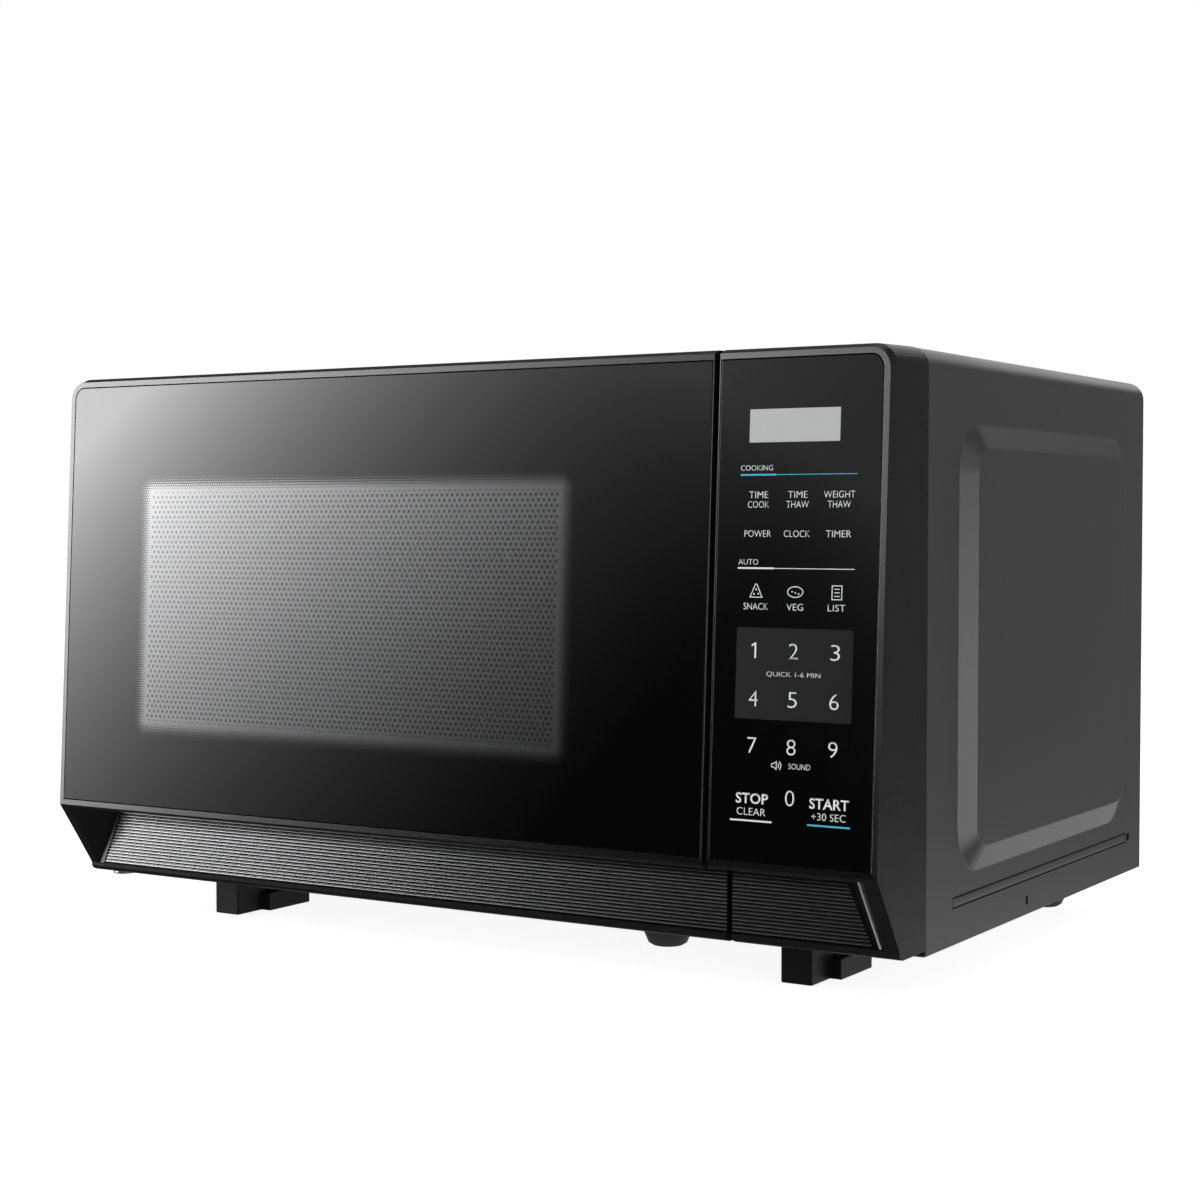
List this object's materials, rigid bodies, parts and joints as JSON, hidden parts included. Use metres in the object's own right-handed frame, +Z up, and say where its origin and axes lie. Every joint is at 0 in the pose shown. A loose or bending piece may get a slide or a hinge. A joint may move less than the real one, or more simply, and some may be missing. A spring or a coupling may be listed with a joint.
{
  "type": "microwave oven",
  "caption": "Countertop microwave oven with a side-hinged glass door, touch control panel, glass turntable, steel cabinet with raised side panels and front feet.",
  "frame": {"origin": "middle of the overall footprint, on the ground under the feet", "axes": "+X to the oven's right seen from the front, +Y to the rear, +Z up; the front face looks along -Y"},
  "size_m": [0.449, 0.323, 0.267],
  "materials": {
    "cabinet_paint": "satin dark grey powder paint",
    "front_plastic": "satin black moulded ABS",
    "black_glass": "gloss, black printed on the back",
    "galvanised": "zinc-coated steel sheet",
    "cavity_paint": "semi-gloss grey enamel paint",
    "foot_rubber": "satin black plastic",
    "screw_steel": "zinc-plated steel",
    "white_plastic": "natural white moulded plastic",
    "clear_glass": "clear tempered glass",
    "board": "green circuit board",
    "black_part": "black plastic",
    "display_grey": "unlit light grey display window",
    "lamination": "varnished steel laminations",
    "copper": "enamelled copper wire",
    "fin_aluminium": "bare sheet",
    "mica": "mica sheet",
    "door_sheet": "black painted steel",
    "door_film": "smoked clear film",
    "spring_steel": "spring wire",
    "lamp_glass": "clear bulb"
  },
  "bodies": {
    "chassis": {"base_plate": "cabinet_paint", "pressed_feet": "cabinet_paint", "outer_cover": "cabinet_paint", "rear_panel": "galvanised", "front_plate": "cavity_paint", "cavity_floor": "cavity_paint", "cavity_ceiling": "cavity_paint", "cavity_left_wall": "cavity_paint", "cavity_right_wall": "cavity_paint", "cavity_rear_wall": "cavity_paint", "front_left_foot": "foot_rubber", "front_right_foot": "foot_rubber", "panel_frame": "front_plastic", "panel_glass": "black_glass", "touch_sheet": "black_part", "control_board": "board", "display_module": "display_grey", "latch_bracket": "white_plastic", "microswitches": "black_part", "upper_hinge": "galvanised", "lower_hinge": "galvanised", "transformer_core": "lamination", "transformer_windings": "copper", "magnetron_case": "galvanised", "magnetron_fins": "fin_aluminium", "magnetron_antenna": "copper", "waveguide": "galvanised", "waveguide_cover": "mica", "capacitor": "galvanised", "capacitor_clamp": "galvanised", "diode": "black_part", "filter_board": "board", "fan_motor": "galvanised", "fan_shroud": "white_plastic", "air_duct": "white_plastic", "lamp": "lamp_glass", "lamp_socket": "white_plastic", "thermal_cutouts": "black_part", "turntable_motor": "galvanised", "cable_gland": "black_part", "cover_screws": "screw_steel"},
    "door": {"door_frame": "front_plastic", "door_glass": "black_glass", "door_screen": "door_sheet", "door_pan": "door_sheet", "door_inner_cover": "black_part", "door_film": "door_film", "latch_spring": "spring_steel"},
    "latch": {"latch_hooks": "white_plastic"},
    "turntable": {"turntable_coupler": "white_plastic"},
    "tray": {"glass_tray": "clear_glass"},
    "ring": {"roller_ring": "white_plastic"},
    "roller_1": {"roller_a": "white_plastic"},
    "roller_2": {"roller_b": "white_plastic"},
    "roller_3": {"roller_c": "white_plastic"},
    "fan": {"fan_blade": "white_plastic", "fan_shaft": "screw_steel"}
  },
  "joints": [
    {"name": "door_swing", "type": "hinge", "parent": "chassis", "child": "door", "pos_m": [-0.208, -0.129, 0.14], "axis": [0, 0, -1], "range_deg": [0, 100]},
    {"name": "latch_lift", "type": "slide", "parent": "door", "child": "latch", "axis": [0, 0, 1], "range_m": [0, 0.004], "stiffness_N_per_m": 300, "springref_m": -0.008, "deforming": ["latch_spring"]},
    {"name": "turntable_spin", "type": "hinge", "parent": "chassis", "child": "turntable", "pos_m": [-0.048, 0.0183, 0.05], "axis": [0, 0, 1], "continuous": true},
    {"name": "tray_lift", "type": "slide", "parent": "turntable", "child": "tray", "axis": [0, 0, 1], "range_m": [0, 0.03]},
    {"name": "ring_spin", "type": "hinge", "parent": "chassis", "child": "ring", "pos_m": [-0.048, 0.0183, 0.0553], "axis": [0, 0, 1], "continuous": true},
    {"name": "roller_1_spin", "type": "hinge", "parent": "ring", "child": "roller_1", "pos_m": [-0.048, 0.1173, 0.0553], "axis": [0, 1, 0], "continuous": true},
    {"name": "roller_2_spin", "type": "hinge", "parent": "ring", "child": "roller_2", "pos_m": [-0.13374, -0.0312, 0.0553], "axis": [-0.866, -0.5, 0], "continuous": true},
    {"name": "roller_3_spin", "type": "hinge", "parent": "ring", "child": "roller_3", "pos_m": [0.03774, -0.0312, 0.0553], "axis": [0.866, -0.5, 0], "continuous": true},
    {"name": "fan_spin", "type": "hinge", "parent": "chassis", "child": "fan", "pos_m": [0.165, 0.12, 0.19], "axis": [0, 1, 0], "continuous": true}
  ],
  "couplings": [
    {"joint": "ring_spin", "follows": "turntable_spin", "ratio": 0.5},
    {"joint": "roller_1_spin", "follows": "turntable_spin", "ratio": -7.0714},
    {"joint": "roller_2_spin", "follows": "turntable_spin", "ratio": -7.0714},
    {"joint": "roller_3_spin", "follows": "turntable_spin", "ratio": -7.0714}
  ]
}
